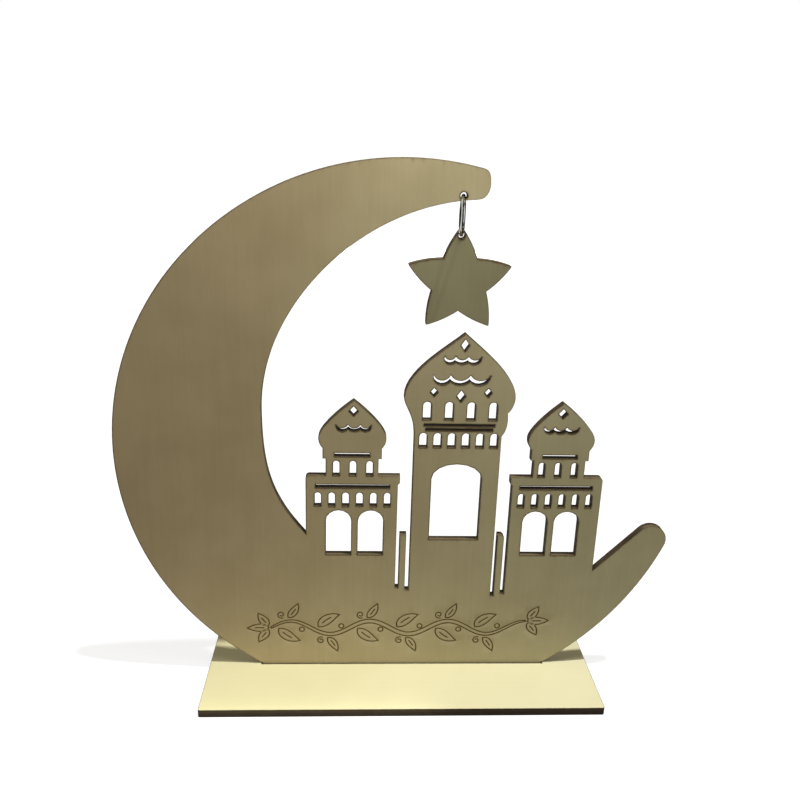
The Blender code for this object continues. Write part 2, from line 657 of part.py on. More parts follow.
def moon_board(parent):
    """The crescent and skyline, one piece of sheet."""
    cuts = middle_tower_cuts() + side_tower_cuts(LEFT_TOWER_X, 1) + side_tower_cuts(RIGHT_TOWER_X, -1)
    cuts.append(round_hole(HOLE, HOLE_RADIUS))
    mesh = cut_sheet("moon_board", [OUTLINE] + cuts, UPRIGHT)
    return place("moon_board", mesh, PLY, parent, (FRAME_X, 0.0, SHEET))


def jump_ring(parent):
    """A split wire ring, turned a little from edge on; its origin is where it lies in the board's hole."""
    split = math.degrees(RING_SPLIT / RING_RADIUS)
    curve = bpy.data.curves.new("jump_ring", "CURVE")
    curve.dimensions = "3D"
    curve.bevel_depth = WIRE / 2
    curve.bevel_resolution = 3
    curve.use_fill_caps = True
    path = arc((0.0, -RING_RADIUS), RING_RADIUS, split / 2, 360 - split / 2, RING_STEPS)
    spline = curve.splines.new("POLY")
    spline.points.add(RING_STEPS)
    for point, (y, z) in zip(spline.points, path):
        point.co = (0.0, y, z, 1.0)
    drawn = bpy.data.objects.new("jump_ring_wire", curve)
    bpy.context.scene.collection.objects.link(drawn)
    bpy.context.view_layer.update()
    mesh = to_mesh(drawn, Matrix.Rotation(math.radians(-RING_TURN), 4, "Z"))
    mesh.shade_smooth()
    mesh.set_sharp_from_angle(angle=math.radians(SMOOTH_BELOW))
    return place("jump_ring", mesh, STEEL, parent, (FRAME_X + HOLE_X, 0.0, SHEET + RING_PIVOT_Z))


def star_pendant(parent):
    """The star, its origin at the ring's centre, about which it slides along the wire."""
    drop = STAR_CENTRE[1] - RING_CENTRE_Z
    edge = [(x, z + drop) for x, z in star_outline()]
    hole = round_hole((0.0, STAR_HOLE_Z - RING_CENTRE_Z), STAR_HOLE_RADIUS)
    mesh = cut_sheet("star_pendant", [edge, hole], UPRIGHT)
    place("star_pendant", mesh, PLY, parent, (FRAME_X + HOLE_X, 0.0, SHEET + RING_CENTRE_Z))


# Build
for old in list(bpy.data.objects):
    bpy.data.objects.remove(old)

OUTLINE = board_outline()
FRAME_X = -(min(x for x, z in OUTLINE) + max(x for x, z in OUTLINE)) / 2
UPRIGHT = Matrix.Rotation(math.radians(90), 4, "X")
ORIGINS = {}
COLLECTION = bpy.data.collections.new("eid_ornament")
bpy.context.scene.collection.children.link(COLLECTION)
PLY = finish("ornament", "plywood", PLY_COLOUR, PLY_ROUGHNESS, 0.0)
STEEL = finish("ornament", "steel", STEEL_COLOUR, STEEL_ROUGHNESS, 1.0)

stand = bpy.data.objects.new("stand", None)
COLLECTION.objects.link(stand)
base_board(stand)
board = moon_board(stand)
ring = jump_ring(board)
star_pendant(ring)
bpy.context.view_layer.update()

print("ring hinge", [round(value, 5) for value in ORIGINS["jump_ring"]])
print("star hinge", [round(value, 5) for value in ORIGINS["star_pendant"]])
print("peak", round(SHEET + PEAK_Z, 5), "moon radius", round(MOON_RADIUS, 5), "frame", round(FRAME_X, 5))
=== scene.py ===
"""Looks of the eid table ornament: scorched plywood, an engraved vine and a wire ring, on a white table.

Metres, +Z up, and the front faces -Y. Every piece keeps the outline of the solid that it dresses. The
sheets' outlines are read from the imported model, given softened arrises and layered cut edges, and filled
again with enough points for soot to fade over the face.
"""
import json
import math

import bmesh
import bpy
import numpy as np
from mathutils import Matrix, Vector
from mathutils.geometry import delaunay_2d_cdt
from mathutils.kdtree import KDTree


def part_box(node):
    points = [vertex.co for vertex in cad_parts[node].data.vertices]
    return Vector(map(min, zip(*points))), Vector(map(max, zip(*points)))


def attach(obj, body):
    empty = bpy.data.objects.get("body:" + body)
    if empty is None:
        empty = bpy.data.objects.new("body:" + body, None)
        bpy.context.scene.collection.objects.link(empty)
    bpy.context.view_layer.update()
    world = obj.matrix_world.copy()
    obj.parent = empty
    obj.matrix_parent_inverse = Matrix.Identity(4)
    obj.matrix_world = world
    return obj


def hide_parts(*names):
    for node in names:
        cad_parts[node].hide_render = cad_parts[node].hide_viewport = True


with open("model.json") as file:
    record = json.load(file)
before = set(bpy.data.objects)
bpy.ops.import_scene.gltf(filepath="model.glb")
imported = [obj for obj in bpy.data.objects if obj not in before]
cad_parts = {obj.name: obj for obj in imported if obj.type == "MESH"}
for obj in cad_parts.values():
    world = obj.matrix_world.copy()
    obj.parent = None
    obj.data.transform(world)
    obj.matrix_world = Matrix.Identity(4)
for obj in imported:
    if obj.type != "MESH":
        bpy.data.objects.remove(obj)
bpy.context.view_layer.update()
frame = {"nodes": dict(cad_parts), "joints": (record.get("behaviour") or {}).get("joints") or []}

# The axis across a sheet: Y for the upright ones, Z for the base
Y_AXIS = 1
Z_AXIS = 2

# A sheet's finishes, in the order of its materials
FACE = 0
EDGE = 1
GROOVE = 2

# Sheet edges: softened arris, glue lines between the plies, and the longest step along a cut
RIM = 0.00008
ARRIS = 0.00006
PLY_STEPS = (1 / 3, 2 / 3)
GLUE_HALF_WIDTH = 0.00006
GLUE_DEPTH = 0.00004
EDGE_STEP = 0.0009

# Points over a sheet's face: a row beside the cuts, a fine grid near them and a coarse one elsewhere
SOOT_ROW = 0.00022
KEEP_OFF = 0.00045
NEAR_CUT = 0.0034
NEAR_STEP = 0.0008
FAR_SHARE = 4

# Meshes: joined points, the sheet's own faces, held-back corners, the fill, and sharp edges in degrees
SAME_POINT = 0.0000005
WELD = 0.000002
FACING = 0.9
MITRE_LIMIT = 0.45
FILL_SCALE = 1000.0
FILL_WELD = 0.00001
SHEET_SHARP = 32.0
RING_SHARP = 50.0

# Soot beside the cuts, more below a cut, painted shade at the outline's left, and smudges below the cut-outs
SOOT_REACH = 0.00028
OUTLINE_SOOT = 0.6
TOP_SOOT = 0.15
STAR_TOP_SOOT = 0.9
LEFT_SOOT_AND_SHADE = 0.5
WINDOW_SOOT = 1.1
HOLE_SOOT = 1.5
HOLE_SPAN = 0.003
HOLE_CORNERS = 20
SMUDGE_REACH = 0.0009
SMUDGE_SLOPE = 0.75

# Engraved line
LINE_WIDTH = 0.00050
LINE_DEPTH = 0.00014
LINE_STEP = 0.00045

# Engraved vine: a stem in waves, with its height above the table and its thinner ends
VINE_LEFT = -0.0475
VINE_RIGHT = 0.0505
VINE_LENGTH = VINE_RIGHT - VINE_LEFT
VINE_Z = 0.0190
VINE_SWING = 0.0029
VINE_WAVES = 3.25
VINE_PITCH = VINE_LENGTH / VINE_WAVES
VINE_GAP = 0.0008
STEM_HALF_WIDTH = 0.00085
STEM_END_SHARE = 0.35
STEM_SWELL = 0.6
STEM_STEPS = 120

# Leaves: length, half width and curl in radians, then how far back, how high and at what angle they grow
BAY_LEAF = (0.0098, 0.0023, 0.7)
BAY_LEAF_BACK = 0.0045
BAY_LEAF_LIFT = 0.0004
BAY_LEAF_ANGLE = 0.95
CREST_LEAF = (0.0072, 0.0017, -0.5)
CREST_LEAF_BACK = 0.001
CREST_LEAF_ANGLE = 0.75
MIDDLE_LEAF = (0.0082, 0.0019, 0.05)
SIDE_LEAF = (0.8 * MIDDLE_LEAF[0], MIDDLE_LEAF[1], 0.35)
END_LEAF_OFF = 0.0008
END_LEAF_SPREAD = 0.0011
END_LEAF_ANGLE = 0.75

# Leaf shape: what pulls its outline aside and where its rib runs, as shares of the length and the half width
LEAF_BASE_PULL = (0.18, 1.25)
LEAF_TIP_PULL = (0.62, 1.05)
LEAF_STEPS = 18
RIB_ENDS = (0.2, 0.68)
RIB_STEPS = 12

# Berries and tendrils: their radius, their place by the crest, and how the tendrils wind
BERRY = 0.00095
BERRY_ON = 0.0042
BERRY_STEPS = 20
TENDRIL = 0.0016
TENDRIL_BACK = 0.0026
TENDRIL_DROP = 0.0001
TENDRIL_ANGLE = 0.9
TENDRIL_TURNS = 1.35
TENDRIL_TIGHTENS = 0.78
TENDRIL_STEPS = 30

# Ring
RING_STEPS = 128
WIRE_SIDES = 20
RING_GAP = 0.00006

# Colours in linear light; a face's colour drifts from warm on the left to cooler and paler on the right
BOARD_WARM = (0.340, 0.269, 0.146, 1.0)
BOARD_COOL = (0.370, 0.333, 0.191, 1.0)
STAR_WARM = (0.217, 0.193, 0.107, 1.0)
STAR_COOL = (0.214, 0.198, 0.111, 1.0)
BASE_WARM = (0.745, 0.698, 0.412, 1.0)
BASE_COOL = (0.800, 0.752, 0.480, 1.0)
HUE_HALF_SPAN = 0.09
GRAIN_DARK = (0.855, 0.845, 0.815, 1.0)
PALE_GRAIN_DARK = (0.955, 0.950, 0.930, 1.0)
SCORCH = (0.065, 0.042, 0.020, 1.0)
SMUDGE = (0.160, 0.112, 0.058, 1.0)
# Burnt edges: dark char, and a paler front ply that shows only on up-facing cuts as painted light
CHAR_DARK = (0.036, 0.027, 0.014, 1.0)
CHAR_LIGHT = (0.180, 0.137, 0.078, 1.0)
TOAST_DARK = (0.021, 0.015, 0.009, 1.0)
TOAST_LIGHT = (0.040, 0.028, 0.016, 1.0)
ENGRAVED = (0.115, 0.077, 0.020, 1.0)
STEEL = (0.500, 0.500, 0.480, 1.0)
STEEL_DULL = (0.400, 0.395, 0.370, 1.0)
WHITE = (1.0, 1.0, 1.0, 1.0)
BLACK = (0.0, 0.0, 0.0, 1.0)

# Gloss of each finish: roughness and specular level
FACE_GLOSS = (0.6, 0.2)
CHAR_GLOSS = (0.72, 0.12)
LINE_GLOSS = (0.75, 0.12)
WIRE_GLOSS = (0.2, 0.5)
TABLE_GLOSS = (0.9, 0.0)
FLAG_GLOSS = (1.0, 0.0)

# Relief of each finish: bump distance and strength
GRAIN_RELIEF = (0.00004, 0.35)
CHAR_RELIEF = (0.00008, 0.5)
LINE_RELIEF = (0.00005, 0.4)
WIRE_RELIEF = (0.00002, 0.10)

# Noises: scale, detail and roughness
STREAKS = (1.0, 4.0, 0.6)
FIBRES = (4.5, 2.0, 0.5)
CLOUDS = (22.0, 2.0, 0.45)
BLOTCHES = (70.0, 3.0, 0.55)
SOOT_UNEVEN = (420.0, 2.0, 0.5)
DRIPS = (1.0, 2.0, 0.6)
BEAM_RIBS = (1.0, 3.0, 0.6)
CHAR_PATCHES = (180.0, 3.0, 0.6)
LINE_UNEVEN = (600.0, 3.0, 0.6)
WIRE_MARKS = (900.0, 3.0, 0.6)
WIRE_DULL = (260.0, 2.0, 0.5)

# How closely a noise lies along each axis, or round a cut and through it
GRAIN_UP = (900.0, 900.0, 26.0)
GRAIN_ALONG = (22.0, 760.0, 760.0)
DRIP_CLOSENESS = (520.0, 520.0, 130.0)
RIBS_ROUND = 2600.0
RIBS_THROUGH = 160.0

# Shares of the noises in a shade, a height, the soot's unevenness, a burnt edge and the wire's roughness
STREAK_SHADE = 0.17
FIBRE_SHADE = 0.07
CLOUD_SHADE = 0.48
BLOTCH_SHADE = 0.28
STREAK_HEIGHT = 0.6
FIBRE_HEIGHT = 0.4
SOOT_LEAST = 0.55
SOOT_WANDER = 0.7
RIB_TONE = 0.25
PATCH_TONE = 0.75
CHAR_TONE = 0.3
OUTER_PLY_TONE = 0.7
WIRE_ROUGH_LEAST = 0.03
WIRE_ROUGH_SHARE = 0.14

# Levels: the values at which a mask starts and is full
GRAIN_LEVELS = (0.36, 0.64)
SCORCH_LEVELS = (0.12, 0.95)
DRIP_LEVELS = (0.50, 0.80)
OUTER_PLY_LEVELS = (0.36, 0.54)
# How far up a cut must face before its paler front ply shows: painted light
UP_FACING_LIGHT_LEVELS = (0.72, 0.97)
CHAR_LEVELS = (0.34, 0.66)
LINE_LEVELS = (0.3, 0.7)
WIRE_LEVELS = (0.35, 0.7)

# Camera, as the photograph was taken: its place, and its turn, tilt and lean in degrees
CAMERA_AT = (-0.01582, -0.26979, 0.20080)
CAMERA_YAW = 3.193
CAMERA_PITCH = 18.371
CAMERA_ROLL = -1.816
LENS = 36.42
SENSOR = 36.0
CLIP_START = 0.01

# Lamps: one nearly overhead, with its lean and its width in degrees, and soft ones around
SUN_RIGHT = 14.0
SUN_FRONT = 5.5
SUN_ANGLE = 2.0
SUN_LEVEL = 0.775
FRONT_LAMP_AT = (-0.10, -1.20, 0.32)
FRONT_LAMP_TARGET = (0.0, 0.0, 0.09)
FRONT_LAMP_SIZE = (0.8, 0.5)
FRONT_LAMP_LEVEL = 0.325
BACK_LAMP_AT = (0.10, 1.20, 0.05)
BACK_LAMP_TARGET = (0.0, 0.0, 0.05)
BACK_LAMP_SIZE = (0.8, 0.06)
BACK_LAMP_LEVEL = 0.30
TIP_LAMP_AT = (0.012, -0.075, 0.265)
TIP_LAMP_TARGET = (0.015, 0.0, 0.185)
TIP_LAMP_SIZE = (0.06, 0.06)
TIP_LAMP_LEVEL = 1.02
FOOT_LAMP_AT = (-0.042, -0.037, 0.006)
FOOT_LAMP_TARGET = (-0.042, 0.0, 0.006)
FOOT_LAMP_SIZE = (0.11, 0.006)
FOOT_LAMP_LEVEL = 0.56
FOOT_LAMP_TINT = (0.970, 1.0, 0.880)

# Surroundings: a sky that dims towards the right, a white floor, and black flags seen only in reflections
SKY_LEVEL = 0.18
SKY_DIM = 1.0
SKY_TINT = (1.0, 0.860, 0.720, 1.0)
FLOOR_SIZE = 8.0
FLOOR_BELOW = 0.00002
FLOOR_BOUNCE = (0.12, 0.118, 0.112, 1.0)
FLOOR_SEEN = (0.3, 0.3, 0.3, 1.0)
FLOOR_GLOW = 0.82
LEFT_FLAG = ((-0.035, -0.36), (-0.26, 0.45))
RIGHT_FLAG = ((0.17, -0.06), (0.17, 0.6))
FLAG_FOOT = 0.001
FLAG_TOP = 0.4


# Outlines
def on_face(place, across):
    """A place's two coordinates along a sheet's face."""
    return tuple(value for axis, value in enumerate(place) if axis != across)


def face_loops(node, across, side):
    """The outlines of a sheet's face, wood on their left, read from the solid."""
    work = bmesh.new()
    work.from_mesh(frame["nodes"][node].data)
    bmesh.ops.remove_doubles(work, verts=work.verts, dist=SAME_POINT)
    # The list keeps the mesh's order, so every run starts its loops at the same corners
    face = [one for one in work.faces if one.normal[across] * side > FACING]
    members = set(face)
    following = {}
    for one in face:
        for corner in one.loops:
            others = [other for other in corner.edge.link_faces if other is not one]
            if not any(other in members for other in others):
                following[corner.vert] = corner.link_loop_next.vert
    loops = []
    while following:
        start, at = following.popitem()
        loop = [start]
        while at is not start:
            loop.append(at)
            at = following.pop(at)
        loops.append([on_face(vert.co, across) for vert in loop])
    work.free()
    return loops


def resample(loop, step):
    """The same loop with points added along its long edges."""
    points = []
    for start, end in zip(loop, loop[1:] + loop[:1]):
        count = max(1, math.ceil(math.dist(start, end) / step))
        for index in range(count):
            share = index / count
            points.append((start[0] + (end[0] - start[0]) * share, start[1] + (end[1] - start[1]) * share))
    return points


def aside(loop, distance):
    """A closed loop moved to its left by a distance, with sharp corners held back."""
    at = np.array(loop)
    ahead = np.roll(at, -1, axis=0) - at
    ahead /= np.linalg.norm(ahead, axis=1, keepdims=True)
    normal = np.stack([-ahead[:, 1], ahead[:, 0]], axis=1)
    middle = normal + np.roll(normal, 1, axis=0)
    square = np.maximum((middle ** 2).sum(axis=1, keepdims=True) / 2, MITRE_LIMIT)
    return [tuple(point) for point in at + distance * middle / square]


def inside_odd(points, loops):
    """Which points lie inside an odd number of loops."""
    at = np.array(points)
    starts = np.concatenate([np.array(loop) for loop in loops])
    ends = np.concatenate([np.roll(np.array(loop), -1, axis=0) for loop in loops])
    crossings = np.zeros(len(at), int)
    for (x0, y0), (x1, y1) in zip(starts, ends):
        if y0 == y1:
            continue
        level = (at[:, 1] >= min(y0, y1)) & (at[:, 1] < max(y0, y1))
        x = x0 + (at[level, 1] - y0) * (x1 - x0) / (y1 - y0)
        crossings[level] += x > at[level, 0]
    return crossings % 2 == 1


def search_tree(loops):
    """A search tree over the points of loops."""
    points = [point for loop in loops for point in loop]
    tree = KDTree(len(points))
    for index, point in enumerate(points):
        tree.insert((*point, 0.0), index)
    tree.balance()
    return tree


def spots(loops):
    """Inner points for a face: a row beside the cuts, a fine grid near them and a coarse one elsewhere."""
    outline = [point for loop in loops for point in loop]
    tree = search_tree(loops)
    low = np.min(outline, axis=0)
    high = np.max(outline, axis=0)
    columns = int((high[0] - low[0]) / NEAR_STEP)
    rows = int((high[1] - low[1]) / NEAR_STEP)
    beside = [point for loop in loops for point in aside(loop, SOOT_ROW)]
    kept = [point for point in beside if tree.find((*point, 0.0))[2] > SOOT_ROW / 2]
    for column in range(1, columns):
        for row in range(1, rows):
            stagger = NEAR_STEP / 2 if row % 2 else 0.0
            point = (low[0] + column * NEAR_STEP + stagger, low[1] + row * NEAR_STEP)
            gap = tree.find((*point, 0.0))[2]
            coarse = column % FAR_SHARE == 0 and row % FAR_SHARE == 0
            if gap > KEEP_OFF and (gap < NEAR_CUT or coarse):
                kept.append(point)
    inside = inside_odd(kept, loops)
    return [point for point, is_in in zip(kept, inside) if is_in]


def fill(loops, inner):
    """Triangles, as triples of points, that fill the space inside an odd number of loops."""
    points = []
    edges = []
    for loop in loops:
        first = len(points)
        points += [Vector(point) * FILL_SCALE for point in loop]
        edges += [(first + index, first + (index + 1) % len(loop)) for index in range(len(loop))]
    points += [Vector(point) * FILL_SCALE for point in inner]
    corners, _, faces, *_ = delaunay_2d_cdt(points, edges, [], 0, FILL_WELD)
    where = np.array([tuple(corner) for corner in corners]) / FILL_SCALE
    faces = np.array(faces)
    kept = inside_odd(where[faces].mean(axis=1), loops)
    return [[tuple(where[index]) for index in face] for face in faces[kept]]


# Engraved line work, as grooves with sloping sides
def closed_groove(line):
    """A groove along a closed line: the two outlines that it cuts out of the face, and its sloping sides."""
    line = resample(line, LINE_STEP)
    left = aside(line, LINE_WIDTH / 2)
    right = aside(line, -LINE_WIDTH / 2)
    sides = []
    for index in range(len(line)):
        after = (index + 1) % len(line)
        sides.append([(left[index], 0), (left[after], 0), (line[after], 1), (line[index], 1)])
        sides.append([(line[index], 1), (line[after], 1), (right[after], 0), (right[index], 0)])
    return [left, right], sides


def open_groove(line):
    """A groove along an open line, running out to a point at both ends."""
    at = np.array(line)
    along = np.gradient(at, axis=0)
    along /= np.linalg.norm(along, axis=1, keepdims=True)
    normal = np.stack([-along[:, 1], along[:, 0]], axis=1) * LINE_WIDTH / 2
    left = [tuple(point) for point in at + normal]
    right = [tuple(point) for point in at - normal]
    line = [tuple(point) for point in line]
    last = len(line) - 1
    left[0] = right[0] = line[0]
    left[last] = right[last] = line[last]
    sides = []
    for index in range(last):
        start = (line[index], 0 if index == 0 else 1)
        end = (line[index + 1], 0 if index + 1 == last else 1)
        for edge in (left, right):
            corners = [(edge[index], 0), (edge[index + 1], 0), end, start]
            sides.append(list(dict.fromkeys(corners)))
    outline = [line[0]] + left[1:last] + [line[last]] + right[1:last][::-1]
    return [outline], sides


def bezier(start, start_pull, end_pull, end, count):
    """Points along a curve that two points between its ends pull aside; the end itself is left out."""
    share = (np.arange(count) / count)[:, None]
    rest = 1 - share
    start, start_pull, end_pull, end = (np.array(point) for point in (start, start_pull, end_pull, end))
    near_start = start * rest ** 3 + 3 * start_pull * share * rest ** 2
    return near_start + 3 * end_pull * share ** 2 * rest + end * share ** 3


def bent(points, curl, length):
    """Points along +X bent round an arc that turns by curl radians over the length."""
    radius = length / curl
    angle = points[:, 0] / radius
    reach = radius - points[:, 1]
    return np.stack([reach * np.sin(angle), radius - reach * np.cos(angle)], axis=1)


def placed(points, root, angle):
    """Points turned by an angle and moved to a root."""
    turn = np.array([[math.cos(angle), math.sin(angle)], [-math.sin(angle), math.cos(angle)]])
    return [tuple(point) for point in points @ turn + np.array(root)]


def leaf(root, angle, size, hand):
    """A pointed leaf and its rib, curled to a hand."""
    length, half_width, curl = size
    curl *= hand
    base_x = LEAF_BASE_PULL[0] * length
    base_y = LEAF_BASE_PULL[1] * half_width
    tip_x = LEAF_TIP_PULL[0] * length
    tip_y = LEAF_TIP_PULL[1] * half_width
    upper = bezier((0, 0), (base_x, base_y), (tip_x, tip_y), (length, 0), LEAF_STEPS)
    lower = bezier((length, 0), (tip_x, -tip_y), (base_x, -base_y), (0, 0), LEAF_STEPS)
    along = np.linspace(RIB_ENDS[0] * length, RIB_ENDS[1] * length, RIB_STEPS)
    rib = np.stack([along, np.zeros(RIB_STEPS)], axis=1)
    outline = placed(bent(np.concatenate([upper, lower]), curl, length), root, angle)
    return closed_groove(outline), open_groove(placed(bent(rib, curl, length), root, angle))


def tendril(root, angle, hand):
    """A spiral that tightens from its root."""
    share = np.arange(TENDRIL_STEPS) / (TENDRIL_STEPS - 1)
    radius = TENDRIL * (1 - TENDRIL_TIGHTENS * share)
    sweep = hand * 2 * math.pi * TENDRIL_TURNS * share
    spiral = np.stack([radius * np.cos(sweep), radius * np.sin(sweep)], axis=1)
    spiral = np.array([TENDRIL, 0.0]) - spiral
    return open_groove(placed(spiral, root, angle))


def berry(centre):
    """A small round fruit."""
    angles = 2 * math.pi * np.arange(BERRY_STEPS) / BERRY_STEPS
    ring = np.stack([BERRY * np.cos(angles), BERRY * np.sin(angles)], axis=1) + np.array(centre)
    return closed_groove([tuple(point) for point in ring])


def stem_at(x):
    """The height of the vine's stem at a place along it, and the angle of its slope there."""
    turn = 2 * math.pi / VINE_PITCH
    phase = turn * (x - VINE_LEFT)
    return VINE_Z + VINE_SWING * math.sin(phase), math.atan(VINE_SWING * turn * math.cos(phase))


def stem():
    """The stem's outline, thickest in the middle of the vine."""
    upper = []
    lower = []
    for index in range(STEM_STEPS + 1):
        share = index / STEM_STEPS
        x = VINE_LEFT + VINE_LENGTH * share
        z, angle = stem_at(x)
        swell = STEM_END_SHARE + (1 - STEM_END_SHARE) * math.sin(math.pi * share) ** STEM_SWELL
        half = STEM_HALF_WIDTH * swell
        upper.append((x - half * math.sin(angle), z + half * math.cos(angle)))
        lower.append((x + half * math.sin(angle), z - half * math.cos(angle)))
    return closed_groove(lower + upper[::-1])


def half_wave(crest_x, side):
    """What grows on half a wave of the stem: leaf and berry in its bay, leaf and tendril on its crest."""
    crest_z = VINE_Z - side * VINE_SWING
    clear = STEM_HALF_WIDTH + VINE_GAP
    leaf_x = crest_x - BAY_LEAF_BACK
    leaf_z = stem_at(leaf_x)[0] + side * (clear + BAY_LEAF_LIFT)
    berry_x = crest_x + BERRY_ON
    berry_z = stem_at(berry_x)[0] + side * (clear + BERRY)
    crest_leaf_at = (crest_x - CREST_LEAF_BACK, crest_z - side * clear)
    tendril_at = (crest_x - TENDRIL_BACK, crest_z - side * (clear - TENDRIL_DROP))
    return [
        *leaf((leaf_x, leaf_z), side * BAY_LEAF_ANGLE, BAY_LEAF, -side),
        berry((berry_x, berry_z)),
        *leaf(crest_leaf_at, -side * CREST_LEAF_ANGLE, CREST_LEAF, side),
        tendril(tendril_at, math.pi + side * TENDRIL_ANGLE, side),
    ]


def vine():
    """All grooves of the vine: its stem, what grows on each half wave, and three leaves at each end."""
    grooves = [stem()]
    for index in range(int(2 * VINE_WAVES)):
        crest_x = VINE_LEFT + VINE_PITCH / 4 + VINE_PITCH / 2 * index
        grooves += half_wave(crest_x, -1 if index % 2 == 0 else 1)
    left_z = stem_at(VINE_LEFT)[0]
    right_z, right_angle = stem_at(VINE_RIGHT)
    for spread in (-1, 0, 1):
        size = SIDE_LEAF if spread else MIDDLE_LEAF
        hand = spread if spread else 1
        shift = spread * END_LEAF_SPREAD
        turned = spread * END_LEAF_ANGLE
        grooves += leaf((VINE_LEFT - END_LEAF_OFF, left_z - shift), math.pi + turned, size, hand)
        grooves += leaf((VINE_RIGHT + END_LEAF_OFF, right_z + shift), right_angle + turned, size, hand)
    return grooves


# Meshes
def linked(name, data):
    """A new object in the scene."""
    thing = bpy.data.objects.new(name, data)
    bpy.context.scene.collection.objects.link(thing)
    return thing


def finish_mesh(mesh, weld, sharp):
    """The mesh with its points joined and its faces turned outwards, smooth between its sharp edges."""
    work = bmesh.new()
    work.from_mesh(mesh)
    bmesh.ops.remove_doubles(work, verts=work.verts, dist=weld)
    bmesh.ops.recalc_face_normals(work, faces=work.faces)
    work.to_mesh(mesh)
    work.free()
    mesh.shade_smooth()
    mesh.set_sharp_from_angle(angle=math.radians(sharp))


def edge_profile(thickness):
    """A cut edge from front to back, as pairs of a depth and how far it lies inside the outline."""
    profile = [(0.0, RIM), (ARRIS, 0.0)]
    for share in PLY_STEPS:
        level = thickness * share
        profile += [(level - GLUE_HALF_WIDTH, 0.0), (level, GLUE_DEPTH), (level + GLUE_HALF_WIDTH, 0.0)]
    return profile + [(thickness - ARRIS, 0.0), (thickness, RIM)]


def sheet_polygons(loops, thickness, grooves, arris_finish):
    """A sheet's polygons and their finishes; a corner is a pair of a place on the face and a depth."""
    polygons = []
    for loop in loops:
        rows = [[(point, depth) for point in aside(loop, inset)] for depth, inset in edge_profile(thickness)]
        for row, (upper, lower) in enumerate(zip(rows, rows[1:])):
            finish = arris_finish if row in (0, len(rows) - 2) else EDGE
            for index in range(len(loop)):
                after = (index + 1) % len(loop)
                polygons.append(([upper[index], upper[after], lower[after], lower[index]], finish))
    rims = [aside(loop, RIM) for loop in loops]
    inner = spots(rims)
    front_inner = inner
    lines = [outline for outlines, sides in grooves for outline in outlines]
    if lines:
        engraving = search_tree(lines)
        front_inner = [point for point in inner if engraving.find((*point, 0.0))[2] > LINE_WIDTH]
    for triangle in fill(rims + lines, front_inner):
        polygons.append(([(point, 0.0) for point in triangle], FACE))
    for triangle in fill(rims, inner):
        polygons.append(([(point, thickness) for point in triangle], FACE))
    for outlines, sides in grooves:
        for corners in sides:
            polygons.append(([(point, LINE_DEPTH * share) for point, share in corners], GROOVE))
    return polygons


def sheet_piece(name, node, across, side, materials, grooves=(), top_soot=TOP_SOOT):
    """A sheet with its node's outline: faces, softened arrises, layered cut edges and engraved grooves."""
    low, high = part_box(node)
    thickness = high[across] - low[across]
    face_at = low[across] if side < 0 else high[across]
    loops = [resample(loop, EDGE_STEP) for loop in face_loops(node, across, side)]
    arris_finish = FACE if across == Y_AXIS else EDGE
    vertices = []
    faces = []
    finishes = []
    for corners, finish in sheet_polygons(loops, thickness, grooves, arris_finish):
        faces.append(tuple(range(len(vertices), len(vertices) + len(corners))))
        finishes.append(finish)
        for point, depth in corners:
            place = list(point)
            place.insert(across, face_at - side * depth)
            vertices.append(place)
    mesh = bpy.data.meshes.new(name)
    mesh.from_pydata(vertices, [], faces)
    for face, finish in zip(mesh.polygons, finishes):
        face.material_index = finish
    finish_mesh(mesh, WELD, SHEET_SHARP)
    soot(mesh, loops, across, top_soot)
    for material in materials:
        mesh.materials.append(material)
    return linked(name, mesh)


def soot(mesh, loops, across, top_soot):
    """Mesh marks: soot fading from the cuts, painted shade at the outline's left, smudges below them when
    upright.
    """
    cuts = search_tree(loops)
    spans = [np.ptp(np.array(loop), axis=0).max() for loop in loops]
    weights = []
    for loop, span in zip(loops, spans):
        if span == max(spans):
            weights += [(OUTLINE_SOOT, LEFT_SOOT_AND_SHADE)] * len(loop)
        elif span < HOLE_SPAN and len(loop) > HOLE_CORNERS:
            weights += [(HOLE_SOOT, 0.0)] * len(loop)
        else:
            weights += [(WINDOW_SOOT, 0.0)] * len(loop)
    near = mesh.attributes.new("soot", "FLOAT", "POINT")
    below = mesh.attributes.new("smudge", "FLOAT", "POINT")
    for index, vertex in enumerate(mesh.vertices):
        place = on_face(vertex.co, across)
        nearest, which, gap = cuts.find((*place, 0.0))
        leans = across == Y_AXIS and gap > RIM / 2
        rise = (nearest[1] - place[1]) / gap if leans else 0.0
        left = (place[0] - nearest[0]) / gap if leans else 0.0
        weight, left_soot_and_shade = weights[which]
        # The left weight is painted shade beside the outline's left-facing edges, on top of their soot.
        weight += top_soot * max(0.0, rise) + left_soot_and_shade * max(0.0, left)
        near.data[index].value = weight * math.exp(-max(0.0, gap - RIM) / SOOT_REACH)
        is_below = rise > SMUDGE_SLOPE
        below.data[index].value = math.exp(-gap / SMUDGE_REACH) if is_below else 0.0


# Nodes
def feed(tree, socket, value):
    """A socket's link from another socket, or else its plain value."""
    if isinstance(value, bpy.types.NodeSocket):
        tree.links.new(value, socket)
    else:
        socket.default_value = value


def math_node(tree, operation, first, second, clamp=False):
    """A math node on sockets or numbers; its output is returned."""
    node = tree.nodes.new("ShaderNodeMath")
    node.operation = operation
    node.use_clamp = clamp
    feed(tree, node.inputs[0], first)
    feed(tree, node.inputs[1], second)
    return node.outputs[0]


def added(tree, first, second, clamp=False):
    """Two values added, each a pair of a socket and its share."""
    first = math_node(tree, "MULTIPLY", *first)
    second = math_node(tree, "MULTIPLY", *second)
    return math_node(tree, "ADD", first, second, clamp)


def mix_node(tree, share, first, second, blend="MIX"):
    """A colour mix on sockets, numbers or colours; its output is returned."""
    node = tree.nodes.new("ShaderNodeMix")
    node.data_type = "RGBA"
    node.blend_type = blend
    for slot, value in ((0, share), (6, first), (7, second)):
        feed(tree, node.inputs[slot], value)
    return node.outputs[2]


